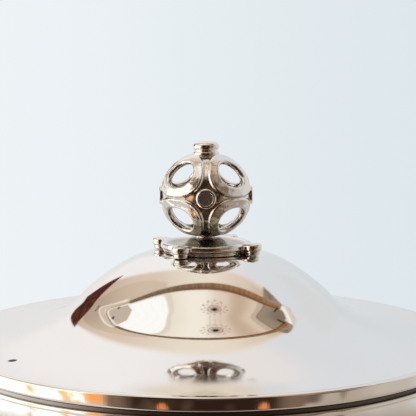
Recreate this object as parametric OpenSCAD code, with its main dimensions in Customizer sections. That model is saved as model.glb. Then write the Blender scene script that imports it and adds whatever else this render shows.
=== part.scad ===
// Round covered sugar bowl in silver. A bowl on a spreading foot carries a wide
// domed lid, and the lid carries a pierced ball finial on a four-knobbed rosette.
// The origin is at the centre of the foot, on the table. Millimetres, +Z up.

/* [Bowl] */
// Height of the lid's outer edge above the table
edge_height = 66; // [64:1:72]
// Outer radius of the bowl wall below its rim
bowl_radius = 59.4; // [59:0.1:59.6]
// Thickness of the silver sheet
sheet = 1; // [0.8:0.1:1.2]
// Height of the moulded ring on the bowl's rim
rim_height = 2; // [1.6:0.1:2.4]
// Outer radius of the moulded ring on the bowl's rim
rim_radius = 60.2; // [60:0.1:60.4]
// Radius of the flat under the bowl
bowl_flat_radius = 16; // [15:1:20]

/* [Foot] */
// Height of the whole foot
foot_height = 15; // [14:0.5:17]
// Outer radius of the wire that the foot stands on
foot_radius = 36; // [34:1:40]
// Height of the wire that the foot stands on
foot_wire_height = 3; // [2.4:0.1:3.4]
// Height of the collar between foot and bowl
collar_height = 4.5; // [4:0.1:5]
// Widest radius of the collar
collar_radius = 14; // [13.5:0.1:15]

/* [Lid] */
// Outer radius of the moulded band round the lid
lid_radius = 60.6; // [60.4:0.1:61]
// Height of the moulded band round the lid
band_height = 2.5; // [2.2:0.1:2.8]
// Radius at which the lid's sheet ends inside the band
brim_radius = 59.3; // [59:0.1:59.5]
// Height of the dome above the lid's outer edge
dome_height = 19.6; // [18:0.2:21]
// Radius of the flat on top of the dome
plateau_radius = 12.5; // [11.5:0.5:14]
// Radius at which the dome is steepest
flank_radius = 31.7; // [30:0.1:33]
// Height of the steepest place above the lid's outer edge
flank_height = 8; // [7.5:0.1:9]
// Slope of the steepest place in degrees
flank_slope = 47.5; // [42:0.5:50]
// Radius at which the dome meets the brim
dome_foot_radius = 40.75; // [40:0.25:42]
// Height of that place above the lid's outer edge
dome_foot_height = 2.85; // [2.6:0.05:2.9]
// Depth of the locating flange below the band
flange_depth = 6; // [4:0.5:8]
// Outer radius of the locating flange
flange_radius = 57.2; // [56.5:0.1:57.2]
// How far the lid lies clear of the bowl
lid_gap = 0.3; // [0.3:0.1:0.6]

/* [Finial] */
// Radius of the ball at its equator
ball_radius = 11.08; // [10.8:0.02:11.4]
// Half height of the ball
ball_half_height = 10.47; // [10.3:0.01:10.7]
// Height of the ball's centre above the lid's outer edge
ball_height = 33.4; // [33.2:0.1:33.6]
// Thickness of the ball's wall
ball_wall = 1.5; // [1.4:0.1:1.7]
// Radius of the eight round windows
window_radius = 3.75; // [3.5:0.05:4]
// Radius of the raised collar round each window
collar_ring_radius = 6.2; // [6:0.05:6.3]
// Depth of the star panels between the collars
panel_depth = 0.5; // [0.3:0.05:0.55]
// Outer radius of the small bezels on the equator
boss_radius = 2.3; // [2:0.1:2.4]
// Radius of the disc held in each bezel
boss_disc_radius = 1.55; // [1.4:0.05:1.6]
// Radius of the rosette's round plate
rosette_radius = 10.9; // [10.5:0.1:11.2]
// Thickness of the rosette at its rim
rosette_thickness = 2.2; // [2.1:0.1:2.5]
// Height of the rosette's underside above the dome
rosette_lift = 0.4; // [0.3:0.05:0.6]
// Radius of each knob on the rosette
knob_radius = 2.2; // [2:0.1:2.3]
// Distance from the axis to each knob's centre
knob_distance = 12.4; // [12:0.1:12.6]
// Direction of the first knob, in degrees from +X
knob_turn = 62; // [0:1:89]
// Radius of the button on top of the ball
button_radius = 3.2; // [3:0.1:3.4]
// Radius of the stud that holds the finial to the lid
stud_radius = 1.2; // [1:0.1:1.4]

/* [Hidden] */
$fn = 96;

silver = [0.86, 0.85, 0.83];
bright_silver = [0.93, 0.92, 0.90];
dark_silver = [0.62, 0.58, 0.53];
disc_grey = [0.52, 0.47, 0.42];

play = 0.03;
seat_play = 0.05;
rounding = 0.45;

// Directions of the four bezels
front = -90;
right = 0;
back = 90;
left = 180;

// Heights on the bowl
rim_top = edge_height - band_height - lid_gap;
rim_bottom = rim_top - rim_height;
rim_inner_radius = flange_radius + 0.4;

// Heights on the lid
brim_height = edge_height + 0.13;
brim_under = edge_height - sheet + 0.1;
brim_start_slope = 16.2;
brim_end_slope = 3.9;
band_bottom = edge_height - band_height;
plateau_height = edge_height + dome_height;
plateau_under = plateau_height - sheet;
flange_bottom = band_bottom - flange_depth;

// Heights on the finial
rosette_bottom = plateau_height + rosette_lift;
rosette_crown = 1.05;
rosette_lip = seat_play - rosette_lift;
neck_bottom = rosette_bottom + rosette_thickness + rosette_crown;
neck_radius = 2.8;
ball_center = edge_height + ball_height;
ball_bottom_cut = ball_half_height - 0.82;
cavity_flat = 8.4;
boss_seat = ball_radius - 0.9;
boss_lip = 1;
boss_pocket = 0.4;
boss_disc_thickness = 0.4;
button_seat = 9.2;
flange_thickness = 1.3;
cap_height = 2.4;
peg_radius = 1;
peg_length = 0.5;
stud_hole_radius = stud_radius + seat_play;
stud_socket = 1;
stud_top = ball_center - ball_bottom_cut + stud_socket;
washer_thickness = 0.8;
washer_radius = 4;
nut_thickness = 2.2;
nut_radius = 3;
stud_tail = 0.4;
window_tilt = 56.5;

// A point on a cubic curve with four control points
function curve_point(c, t) =
    pow(1 - t, 3) * c[0] + 3 * pow(1 - t, 2) * t * c[1]
    + 3 * (1 - t) * t * t * c[2] + pow(t, 3) * c[3];

// The direction of the curve at the same place
function curve_direction(c, t) =
    pow(1 - t, 2) * (c[1] - c[0]) + 2 * (1 - t) * t * (c[2] - c[1]) + t * t * (c[3] - c[2]);

// The point moved square to the curve, to its right-hand side
function shifted_point(c, t, d) =
    let (v = curve_direction(c, t))
    curve_point(c, t) + d * [v[1], -v[0]] / norm(v);

function curve(c, steps, d = 0) = [for (i = [0:steps]) shifted_point(c, i / steps, d)];
function inner_points(c, steps, d = 0) = [for (i = [1:steps]) shifted_point(c, i / steps, d)];
function reversed(list) = [for (i = [len(list) - 1:-1:0]) list[i]];

// A quarter or more of a circle, from angle a to angle b
function arc(center, r, a, b, steps) =
    [for (i = [0:steps]) center + r * [cos(a + (b - a) * i / steps), sin(a + (b - a) * i / steps)]];

// The bowl's outside, from the flat underneath up to the rim ring
bowl_curve = [
    [bowl_flat_radius, foot_height],
    [bowl_flat_radius + 29, foot_height],
    [bowl_radius, foot_height + 17],
    [bowl_radius, rim_bottom]
];
bowl_steps = 24;

// The foot's outside, from the collar down to the wire
foot_top_radius = collar_radius - 1.6;
foot_top = foot_height - collar_height;
foot_curve = [
    [foot_top_radius, foot_top],
    [foot_top_radius + 0.4, foot_top - 5.4],
    [foot_radius - 14, foot_wire_height + 0.6],
    [foot_radius - 2, foot_wire_height]
];
foot_steps = 14;

// The lid's outside: dome, hollow at its foot, and brim. Each handle is the
// distance from an end of a curve to the control point that steers it.
shoulder_handle = 6.3;
flank_upper_handle = 4.7;
flank_lower_handle = 4.3;
hollow_handle = 1.4;
brim_start_handle = 5.6;
brim_end_handle = 9.5;
flank_point = [flank_radius, edge_height + flank_height];
flank_direction = [cos(flank_slope), -sin(flank_slope)];
foot_point = [dome_foot_radius, edge_height + dome_foot_height];
foot_direction = [cos(brim_start_slope), -sin(brim_start_slope)];
dome_curve = [
    [plateau_radius, plateau_height],
    [plateau_radius + shoulder_handle, plateau_height],
    flank_point - flank_upper_handle * flank_direction,
    flank_point
];
hollow_curve = [
    flank_point,
    flank_point + flank_lower_handle * flank_direction,
    foot_point - hollow_handle * foot_direction,
    foot_point
];
brim_curve = [
    foot_point,
    foot_point + brim_start_handle * foot_direction,
    [brim_radius - brim_end_handle, brim_height + brim_end_handle * tan(brim_end_slope)],
    [brim_radius, brim_height]
];
dome_steps = 14;
hollow_steps = 14;
brim_steps = 12;
brim_inner_radius = 55;

// ---- Bowl and foot ----

module bowl_body() {
    outside = concat([[0, foot_height]], curve(bowl_curve, bowl_steps));
    inside = concat([[0, foot_height + sheet]], curve(bowl_curve, bowl_steps, -sheet));
    color(silver)
        rotate_extrude()
            polygon(concat(outside, reversed(inside)));
}

// A ring with rounded outer edges, which closes the top of the wall
module bowl_rim_ring() {
    upper = arc([rim_radius - rounding, rim_top - rounding], rounding, 0, 90, 6);
    lower = arc([rim_radius - rounding, rim_bottom + rounding], rounding, -90, 0, 6);
    color(bright_silver)
        rotate_extrude()
            polygon(concat([[rim_inner_radius, rim_bottom]], lower, upper,
                [[rim_inner_radius, rim_top]]));
}

// A bulging collar that joins the foot to the bowl
module foot_collar() {
    bulge = arc([collar_radius - collar_height / 2, foot_top + collar_height / 2],
        collar_height / 2, -90, 90, 12);
    color(silver)
        rotate_extrude()
            polygon(concat([[foot_top_radius - 3, foot_top]], bulge, [[foot_top_radius - 3, foot_height]]));
}

module foot_shell() {
    outside = curve(foot_curve, foot_steps);
    inside = curve(foot_curve, foot_steps, sheet);
    color(silver)
        rotate_extrude()
            polygon(concat(outside, reversed(inside)));
}

// The half-round wire that the foot stands on, with a flat sole
module foot_wire() {
    round_side = arc([foot_radius - foot_wire_height / 2, foot_wire_height / 2],
        foot_wire_height / 2, -90, 60, 12);
    color(bright_silver)
        rotate_extrude()
            polygon(concat([[foot_radius - 5, 0]], round_side,
                [[foot_radius - 2 + play, foot_wire_height],
                [foot_radius - 2 + play, foot_wire_height - sheet - play],
                [foot_radius - 5, foot_wire_height - sheet - play]]));
}

// ---- Lid ----

module lid_shell() {
    outside = concat([[stud_hole_radius, plateau_height]], curve(dome_curve, dome_steps),
        inner_points(hollow_curve, hollow_steps), inner_points(brim_curve, brim_steps));
    brim_inside = [for (p = inner_points(brim_curve, brim_steps, sheet)) if (p[0] < brim_inner_radius) p];
    inside = concat([[stud_hole_radius, plateau_under]], curve(dome_curve, dome_steps, sheet),
        inner_points(hollow_curve, hollow_steps, sheet), brim_inside,
        [[brim_inner_radius, brim_under], [brim_radius, brim_under]]);
    color(bright_silver)
        rotate_extrude()
            polygon(concat(outside, reversed(inside)));
}

// The moulding soldered round the lid's edge, with a ledge under the sheet
module lid_rim_band() {
    upper = arc([lid_radius - rounding, edge_height - rounding], rounding, 0, 80, 6);
    lower = arc([lid_radius - 2 * rounding, band_bottom + 2 * rounding], 2 * rounding, -90, 0, 8);
    color(silver)
        rotate_extrude()
            polygon(concat([[flange_radius + play, band_bottom]], lower, upper,
                [[brim_radius + play, brim_height - play], [brim_radius + play, brim_under],
                [flange_radius + play, brim_under]]));
}

// The ring under the lid that drops inside the bowl's rim
module lid_flange() {
    color(silver)
        translate([0, 0, flange_bottom])
            difference() {
                cylinder(r = flange_radius, h = brim_under - flange_bottom);
                translate([0, 0, -1])
                    cylinder(r = flange_radius - sheet, h = brim_under - flange_bottom + 2);
            }
}

// ---- Finial ----

module finial_hub() {
    color(dark_silver)
        translate([0, 0, plateau_height])
            difference() {
                cylinder(r = 3.2, h = rosette_lift);
                translate([0, 0, -1])
                    cylinder(r = stud_hole_radius, h = rosette_lift + 2);
            }
}

// The round plate: a lip that clears the dome, a fillet, a groove, an upper band,
// and a dished top that rises to the neck
module rosette_plate() {
    groove = 0.7;
    rotate_extrude()
        polygon([
            [stud_hole_radius, 0],
            [rosette_radius - 2.8, 0],
            [rosette_radius - 2.5, rosette_lip],
            [rosette_radius - 0.8, rosette_lip],
            [rosette_radius - 0.5, rosette_lip + 0.15],
            [rosette_radius - 0.5, -0.05],
            [rosette_radius - 0.7, 0.05],
            [rosette_radius - 0.35, 0.2],
            [rosette_radius - 0.3, 0.4],
            [rosette_radius - 0.55, groove - 0.1],
            [rosette_radius - 0.55, groove],
            [rosette_radius - 0.1, groove + 0.15],
            [rosette_radius, groove + 0.45],
            [rosette_radius, rosette_thickness - 0.4],
            [rosette_radius - 0.35, rosette_thickness],
            [rosette_radius - 1, rosette_thickness],
            [rosette_radius - 1.8, rosette_thickness - 0.3],
            [rosette_radius - 4.2, rosette_thickness - 0.1],
            [4.6, rosette_thickness + 0.5 * rosette_crown],
            [3.2, rosette_thickness + rosette_crown],
            [stud_hole_radius, rosette_thickness + rosette_crown]
        ]);
}

// A knob like a small barrel, a little taller than the plate's rim
module rosette_knob() {
    knob_top = rosette_thickness + 0.2;
    rotate_extrude()
        polygon(concat(
            [[0, rosette_lip]],
            arc([knob_radius - 0.7, rosette_lip + 0.7], 0.7, -90, 0, 5),
            arc([knob_radius - 0.7, knob_top - 0.7], 0.7, 0, 90, 5),
            [[0, knob_top - 0.2]]));
}

module finial_rosette() {
    color(silver)
        translate([0, 0, rosette_bottom])
            union() {
                rosette_plate();
                for (k = [0:3])
                    rotate([0, 0, knob_turn + 90 * k])
                        translate([knob_distance, 0, 0])
                            rosette_knob();
            }
}

module finial_neck() {
    neck_height = ball_center - ball_bottom_cut - neck_bottom;
    color(dark_silver)
        translate([0, 0, neck_bottom])
            rotate_extrude()
                polygon([
                    [stud_hole_radius, 0],
                    [neck_radius, 0],
                    [neck_radius - 0.1, neck_height * 0.3],
                    [neck_radius - 0.1, neck_height * 0.7],
                    [neck_radius, neck_height],
                    [stud_hole_radius, neck_height]
                ]);
}

// A body like a slightly flattened ball
module round_body(r, h, steps) {
    rotate_extrude()
        polygon([for (i = [0:steps]) [r * sin(180 * i / steps), -h * cos(180 * i / steps)]]);
}

// One copy of the children along each of the eight diagonals
module on_diagonals() {
    for (azimuth = [45:90:315], tilt = [window_tilt, 180 - window_tilt])
        rotate([0, tilt, azimuth])
            children();
}

module ball_skin() {
    round_body(ball_radius - panel_depth, ball_half_height - panel_depth, 20);
    intersection() {
        round_body(ball_radius, ball_half_height, 20);
        on_diagonals()
            cylinder(r = collar_ring_radius, h = 2 * ball_radius);
    }
}

module ball_cavity() {
    intersection() {
        round_body(ball_radius - ball_wall, ball_half_height - ball_wall, 16);
        cube([4 * ball_radius, 4 * ball_radius, 2 * cavity_flat], center = true);
    }
}

module finial_ball() {
    color(silver)
        translate([0, 0, ball_center])
            difference() {
                ball_skin();
                ball_cavity();
                on_diagonals()
                    cylinder(r = window_radius, h = 2 * ball_radius);
                for (azimuth = [0:90:270])
                    rotate([0, 90, azimuth])
                        translate([0, 0, boss_seat])
                            cylinder(r = boss_radius + play, h = 4);
                translate([0, 0, button_seat])
                    cylinder(r = button_radius + play, h = 4);
                translate([0, 0, button_seat - peg_length - play])
                    cylinder(r = peg_radius + play, h = 4);
                translate([0, 0, -ball_bottom_cut - 4])
                    cylinder(r = 5, h = 4);
                translate([0, 0, -ball_bottom_cut - 1])
                    cylinder(r = stud_hole_radius, h = 1 + stud_socket + play);
            }
}

// Places its children on the ball's equator, facing outward
module on_equator(azimuth) {
    translate([0, 0, ball_center])
        rotate([0, 90, azimuth])
            translate([0, 0, boss_seat])
                children();
}

module boss_cup(azimuth) {
    color(bright_silver)
        on_equator(azimuth)
            rotate_extrude()
                polygon([
                    [0, 0],
                    [boss_radius, 0],
                    [boss_radius, boss_lip - 0.3],
                    [boss_radius - 0.25, boss_lip],
                    [boss_disc_radius + 0.15, boss_lip],
                    [boss_disc_radius + play, boss_lip - 0.15],
                    [boss_disc_radius + play, boss_pocket],
                    [0, boss_pocket]
                ]);
}

module boss_disc(azimuth) {
    color(disc_grey)
        on_equator(azimuth)
            translate([0, 0, boss_pocket])
                cylinder(r = boss_disc_radius, h = boss_disc_thickness);
}

module button_flange() {
    color(silver)
        translate([0, 0, ball_center + button_seat])
            rotate_extrude()
                polygon(concat(
                    [[peg_radius + play, 0]],
                    arc([button_radius - 0.4, 0.4], 0.4, -90, 0, 5),
                    arc([button_radius - 0.4, flange_thickness - 0.4], 0.4, 0, 90, 5),
                    [[peg_radius + play, flange_thickness]]));
}

// A cap with a narrow foot, a rounded shoulder, and a peg through the flange
module button_cap() {
    cap_foot = 0.25;
    cap_waist = 1;
    shoulder = [
        [button_radius, cap_waist],
        [button_radius, cap_waist + 0.75],
        [button_radius - 0.65, cap_height - 0.2],
        [button_radius - 1.35, cap_height - 0.1]
    ];
    color(bright_silver)
        translate([0, 0, ball_center + button_seat + flange_thickness])
            rotate_extrude()
                polygon(concat(
                    [[0, -flange_thickness - peg_length], [peg_radius, -flange_thickness - peg_length],
                    [peg_radius, 0], [button_radius - 0.5, 0], [button_radius - 0.5, cap_foot]],
                    arc([button_radius - 0.7, cap_waist], 0.7, -60, 0, 5),
                    inner_points(shoulder, 8),
                    [[0, cap_height]]));
}

// ---- Fixing of the finial ----

module finial_stud() {
    stud_bottom = plateau_under - washer_thickness - nut_thickness - stud_tail;
    color(dark_silver)
        translate([0, 0, stud_bottom])
            cylinder(r = stud_radius, h = stud_top - stud_bottom);
}

module finial_washer() {
    color(silver)
        translate([0, 0, plateau_under - washer_thickness])
            difference() {
                cylinder(r = washer_radius, h = washer_thickness);
                translate([0, 0, -1])
                    cylinder(r = stud_hole_radius, h = washer_thickness + 2);
            }
}

module finial_nut() {
    color(dark_silver)
        translate([0, 0, plateau_under - washer_thickness - nut_thickness])
            difference() {
                cylinder(r = nut_radius, h = nut_thickness, $fn = 6);
                translate([0, 0, -1])
                    cylinder(r = stud_hole_radius, h = nut_thickness + 2);
            }
}

bowl_body();
bowl_rim_ring();
foot_collar();
foot_shell();
foot_wire();
lid_shell();
lid_rim_band();
lid_flange();
finial_hub();
finial_rosette();
finial_neck();
finial_ball();
boss_cup(front);  // boss_cup_front
boss_cup(right);  // boss_cup_right
boss_cup(back);  // boss_cup_back
boss_cup(left);  // boss_cup_left
boss_disc(front);  // boss_disc_front
boss_disc(right);  // boss_disc_right
boss_disc(back);  // boss_disc_back
boss_disc(left);  // boss_disc_left
button_flange();
button_cap();
finial_stud();
finial_washer();
finial_nut();
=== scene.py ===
"""Looks of the covered silver sugar bowl: turned shells, cast finial, polished silver, a plain pale studio.

Lengths in the shape functions are millimetres in the frame of the CAD part, and they become metres where a
mesh is made.
"""
import math

import bpy
import numpy as np
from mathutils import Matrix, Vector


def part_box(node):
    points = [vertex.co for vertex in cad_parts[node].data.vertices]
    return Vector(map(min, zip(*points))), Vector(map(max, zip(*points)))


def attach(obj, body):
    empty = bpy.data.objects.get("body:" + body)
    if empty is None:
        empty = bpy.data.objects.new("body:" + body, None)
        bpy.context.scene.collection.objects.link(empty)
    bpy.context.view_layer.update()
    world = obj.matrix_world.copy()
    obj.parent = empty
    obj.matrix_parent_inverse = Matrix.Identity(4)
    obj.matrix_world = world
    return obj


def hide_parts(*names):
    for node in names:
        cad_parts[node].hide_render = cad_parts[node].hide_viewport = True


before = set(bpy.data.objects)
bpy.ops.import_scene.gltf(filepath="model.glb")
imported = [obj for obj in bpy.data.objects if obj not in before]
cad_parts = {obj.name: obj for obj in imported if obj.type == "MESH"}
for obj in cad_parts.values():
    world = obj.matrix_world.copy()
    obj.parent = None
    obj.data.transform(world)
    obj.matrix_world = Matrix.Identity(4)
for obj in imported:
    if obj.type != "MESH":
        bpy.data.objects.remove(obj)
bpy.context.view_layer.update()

MM = 0.001


def box_mm(node):
    """Lowest and highest corner of a CAD node, in millimetres."""
    low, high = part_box(node)
    return np.array(low) / MM, np.array(high) / MM


# ---------------------------------------------------------------- sizes in millimetres, most from the frame

SHEET = 1.0
PLAY = 0.03
BOLT_RADIUS = 1.25
shell_high = box_mm("lid_shell")[1]
band_low, band_high = box_mm("lid_rim_band")
ring_low, ring_high = box_mm("bowl_rim_ring")
body_low, body_high = box_mm("bowl_body")
foot_high = box_mm("foot_shell")[1]
wire_high = box_mm("foot_wire")[1]
collar_low, collar_high = box_mm("foot_collar")
hub_low, hub_high = box_mm("finial_hub")
rosette_low, rosette_high = box_mm("finial_rosette")
neck_low, neck_high = box_mm("finial_neck")
flange_low, flange_high = box_mm("button_flange")
cap_low, cap_high = box_mm("button_cap")
cup_low, cup_high = box_mm("boss_cup_right")
disc_low, disc_high = box_mm("boss_disc_right")
seat_high = box_mm("lid_flange")[1]

BAND_RADIUS = band_high[0]
BAND_BOTTOM = band_low[2]
EDGE = BAND_BOTTOM + 2.5
BRIM_RADIUS = 59.3
BRIM_RISE = 0.45
LID_UNDERSIDE = EDGE - SHEET + 0.1
PLATEAU = shell_high[2]
FINIAL_FOOT = hub_high[2]
RIM_GAP = 0.75
BALL_CENTER = (cup_low[2] + cup_high[2]) / 2
BALL_RADIUS = 11.08
BALL_HALF_HEIGHT = 10.47


# ---------------------------------------------------------------- outlines and meshes

def curve(c, steps, shift=0.0):
    """Points on a cubic curve with four control points, moved square to it, to its right-hand side."""
    c = np.asarray(c, float)
    t = np.linspace(0, 1, steps + 1)[:, None]
    point = (1 - t) ** 3 * c[0] + 3 * (1 - t) ** 2 * t * c[1] + 3 * (1 - t) * t * t * c[2] + t ** 3 * c[3]
    way = (1 - t) ** 2 * (c[1] - c[0]) + 2 * (1 - t) * t * (c[2] - c[1]) + t * t * (c[3] - c[2])
    way /= np.linalg.norm(way, axis=1)[:, None]
    return point + shift * np.stack([way[:, 1], -way[:, 0]], axis=1)


def arc(center, radius, start, end, steps):
    a = np.radians(np.linspace(start, end, steps + 1))
    return np.asarray(center, float) + radius * np.stack([np.cos(a), np.sin(a)], axis=1)


def softened(loop, radius, steps=4, least_turn=25):
    """The closed outline with every real corner rounded to about the given radius."""
    loop = np.asarray(loop, float)
    made = []
    for i, p in enumerate(loop):
        before, after = loop[i - 1] - p, loop[(i + 1) % len(loop)] - p
        len_b, len_a = np.linalg.norm(before), np.linalg.norm(after)
        turn = math.pi - math.acos(np.clip(before @ after / (len_b * len_a), -1, 1))
        if math.degrees(turn) < least_turn or p[0] < 1e-6:
            made.append(p)
            continue
        reach = min(radius * math.tan(turn / 2), 0.45 * len_b, 0.45 * len_a)
        start, end = p + before / len_b * reach, p + after / len_a * reach
        for t in np.linspace(0, 1, steps + 1):
            made.append((1 - t) ** 2 * start + 2 * (1 - t) * t * p + t * t * end)
    return np.array(made)


def mesh_object(name, vertices, faces, sharp=30):
    mesh = bpy.data.meshes.new(name)
    mesh.from_pydata([tuple(v * MM) for v in np.asarray(vertices, float)], [], faces)
    mesh.validate()
    mesh.shade_smooth()
    if sharp:
        mesh.set_sharp_from_angle(angle=math.radians(sharp))
    piece = bpy.data.objects.new(name, mesh)
    bpy.context.scene.collection.objects.link(piece)
    return piece


def turned(name, loop, segments=256, sharp=30):
    """A solid of revolution about Z from a closed outline of [radius, height] points."""
    loop = np.asarray(loop, float)
    keep = [i for i in range(len(loop)) if np.linalg.norm(loop[i] - loop[i - 1]) > 1e-4]
    loop = loop[keep]
    area = np.sum(loop[:, 0] * np.roll(loop[:, 1], -1) - np.roll(loop[:, 0], -1) * loop[:, 1])
    if area < 0:
        loop = loop[::-1]
    angle = np.linspace(0, 2 * math.pi, segments, endpoint=False)
    vertices, rings = [], []
    for r, z in loop:
        if r < 1e-6:
            rings.append([len(vertices)] * segments)
            vertices.append([0.0, 0.0, z])
        else:
            rings.append(list(range(len(vertices), len(vertices) + segments)))
            vertices += [[r * math.cos(a), r * math.sin(a), z] for a in angle]
    faces = []
    for i in range(len(loop)):
        j = (i + 1) % len(loop)
        on_axis = (loop[i][0] < 1e-6, loop[j][0] < 1e-6)
        if all(on_axis):
            continue
        for s in range(segments):
            n = (s + 1) % segments
            quad = [rings[i][s], rings[i][n], rings[j][n], rings[j][s]]
            faces.append(tuple(dict.fromkeys(quad)))
    return mesh_object(name, vertices, faces, sharp)


def placed(piece, matrix):
    """Moves a piece's mesh by a 4 by 4 matrix in millimetres, so that its object stays at the origin."""
    points = np.array([v.co for v in piece.data.vertices]) / MM
    points = points @ matrix[:3, :3].T + matrix[:3, 3]
    piece.data.vertices.foreach_set("co", (points * MM).astype(np.float32).ravel())
    piece.data.update()
    return piece


def smooth_max(a, b, k):
    h = np.maximum(k - np.abs(a - b), 0) / k
    return np.maximum(a, b) + h * h * k / 4


def smooth_min(a, b, k):
    return -smooth_max(-a, -b, k)


def ease(x, start, end):
    t = np.clip((x - start) / (end - start), 0, 1)
    return t * t * (3 - 2 * t)


def bell(x, width):
    return np.exp(-(x / width) ** 2)


def cast(name, field, low, high, step, sharp=0):
    """A closed mesh of the places where the field is below zero: one vertex in each crossed cell of a grid
    with the given steps, pulled onto the surface."""
    step = np.asarray(step, float)
    axes = [np.arange(low[i], high[i] + step[i], step[i]) for i in range(3)]
    shape = tuple(len(a) for a in axes)
    value = np.empty(shape, np.float32)
    for i, x in enumerate(axes[0]):
        yy, zz = np.meshgrid(axes[1], axes[2], indexing="ij")
        value[i] = field(np.stack([np.full(yy.size, x), yy.ravel(), zz.ravel()], axis=1)).reshape(yy.shape)
    inside = value < 0
    cells = tuple(n - 1 for n in shape)
    total = np.zeros(cells + (3,), np.float32)
    count = np.zeros(cells, np.int32)
    corner = [(a, b, c) for a in (0, 1) for b in (0, 1) for c in (0, 1)]

    def part(array, offset):
        return array[offset[0]:offset[0] + cells[0], offset[1]:offset[1] + cells[1],
                     offset[2]:offset[2] + cells[2]]

    for a in corner:
        for axis in range(3):
            if a[axis]:
                continue
            b = tuple(v + (1 if k == axis else 0) for k, v in enumerate(a))
            va, vb = part(value, a), part(value, b)
            crossed = part(inside, a) != part(inside, b)
            share = np.where(crossed, va / np.where(crossed, va - vb, 1), 0)
            for k in range(3):
                total[..., k] += np.where(crossed, a[k] + (share if k == axis else 0), 0)
            count += crossed
    active = count > 0
    index = np.full(cells, -1, np.int64)
    index[active] = np.arange(active.sum())
    where = np.argwhere(active)
    points = (where + total[active] / count[active][:, None]) * step + np.array([a[0] for a in axes])

    faces = []
    for axis in range(3):
        b, c = (axis + 1) % 3, (axis + 2) % 3
        first = [slice(None)] * 3
        second = [slice(None)] * 3
        first[axis], second[axis] = slice(0, -1), slice(1, None)
        change = inside[tuple(first)] != inside[tuple(second)]
        edges = np.argwhere(change)
        edges = edges[(edges[:, b] > 0) & (edges[:, c] > 0)
                      & (edges[:, b] < cells[b]) & (edges[:, c] < cells[c])]
        around = []
        for db, dc in ((0, 0), (-1, 0), (-1, -1), (0, -1)):
            e = edges.copy()
            e[:, b] += db
            e[:, c] += dc
            around.append(index[e[:, 0], e[:, 1], e[:, 2]])
        quads = np.stack(around, axis=1)
        out = inside[edges[:, 0], edges[:, 1], edges[:, 2]]
        quads[~out] = quads[~out][:, ::-1]
        faces.append(quads)
    faces = np.concatenate(faces)

    reach = 0.2 * step.min()
    for _ in range(3):
        slope = np.empty_like(points)
        for k in range(3):
            side = np.zeros(3)
            side[k] = reach
            slope[:, k] = (field(points + side) - field(points - side)) / (2 * reach)
        size = np.maximum((slope ** 2).sum(axis=1), 0.2)
        move = -(field(points) / size)[:, None] * slope
        points = points + np.clip(move, -0.5 * step, 0.5 * step)
    return mesh_object(name, points, faces.tolist(), sharp)


# ---------------------------------------------------------------- materials

class Graph:
    """Short forms for the nodes of one material or world."""

    def __init__(self, tree):
        self.tree = tree
        tree.nodes.clear()

    def add(self, kind, **settings):
        node = self.tree.nodes.new(kind)
        for key, value in settings.items():
            setattr(node, key, value)
        return node

    def link(self, source, target):
        if isinstance(source, bpy.types.NodeSocket):
            self.tree.links.new(source, target)
        else:
            target.default_value = source

    def math(self, kind, a, b=0.0, c=0.0, clamp=False):
        node = self.add("ShaderNodeMath", operation=kind, use_clamp=clamp)
        for socket, value in zip(node.inputs, (a, b, c)):
            self.link(value, socket)
        return node.outputs[0]

    def step(self, value, start, end):
        """0 below start, 1 above end, smooth between; start may be above end."""
        node = self.add("ShaderNodeMapRange", interpolation_type="SMOOTHSTEP")
        self.link(value, node.inputs["Value"])
        low, high, flip = (start, end, False)
        if isinstance(start, (int, float)) and isinstance(end, (int, float)) and start > end:
            low, high, flip = end, start, True
        self.link(low, node.inputs["From Min"])
        self.link(high, node.inputs["From Max"])
        node.inputs["To Min"].default_value = 1.0 if flip else 0.0
        node.inputs["To Max"].default_value = 0.0 if flip else 1.0
        return node.outputs[0]

    def scaled(self, value, from_low, from_high, to_low, to_high):
        node = self.add("ShaderNodeMapRange")
        self.link(value, node.inputs["Value"])
        ends = {"From Min": from_low, "From Max": from_high, "To Min": to_low, "To Max": to_high}
        for key, number in ends.items():
            node.inputs[key].default_value = number
        return node.outputs[0]

    def both(self, *masks):
        made = masks[0]
        for mask in masks[1:]:
            made = self.math("MULTIPLY", made, mask)
        return made

    def length(self, a, b):
        """The square root of the sum of two squares."""
        return self.math("SQRT", self.math("ADD", self.math("MULTIPLY", a, a), self.math("MULTIPLY", b, b)))

    def blend(self, share, a, b):
        node = self.add("ShaderNodeMix", data_type="RGBA")
        self.link(share, node.inputs[0])
        self.link(a, node.inputs[6])
        self.link(b, node.inputs[7])
        return node.outputs[2]

    def noise(self, vector, scale, detail=2.0, roughness=0.5):
        node = self.add("ShaderNodeTexNoise")
        self.link(vector, node.inputs["Vector"])
        node.inputs["Scale"].default_value = scale
        node.inputs["Detail"].default_value = detail
        node.inputs["Roughness"].default_value = roughness
        return node.outputs["Fac"]

    def stretched(self, vector, scale):
        node = self.add("ShaderNodeMapping")
        self.link(vector, node.inputs["Vector"])
        node.inputs["Scale"].default_value = scale
        return node.outputs["Vector"]


def linear(red, green, blue, strength=1.0):
    """A colour given as 0 to 255 display values, as linear light of the given strength."""
    made = []
    for value in (red, green, blue):
        v = value / 255
        made.append(strength * (v / 12.92 if v <= 0.04045 else ((v + 0.055) / 1.055) ** 2.4))
    return (*made, 1.0)


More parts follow.
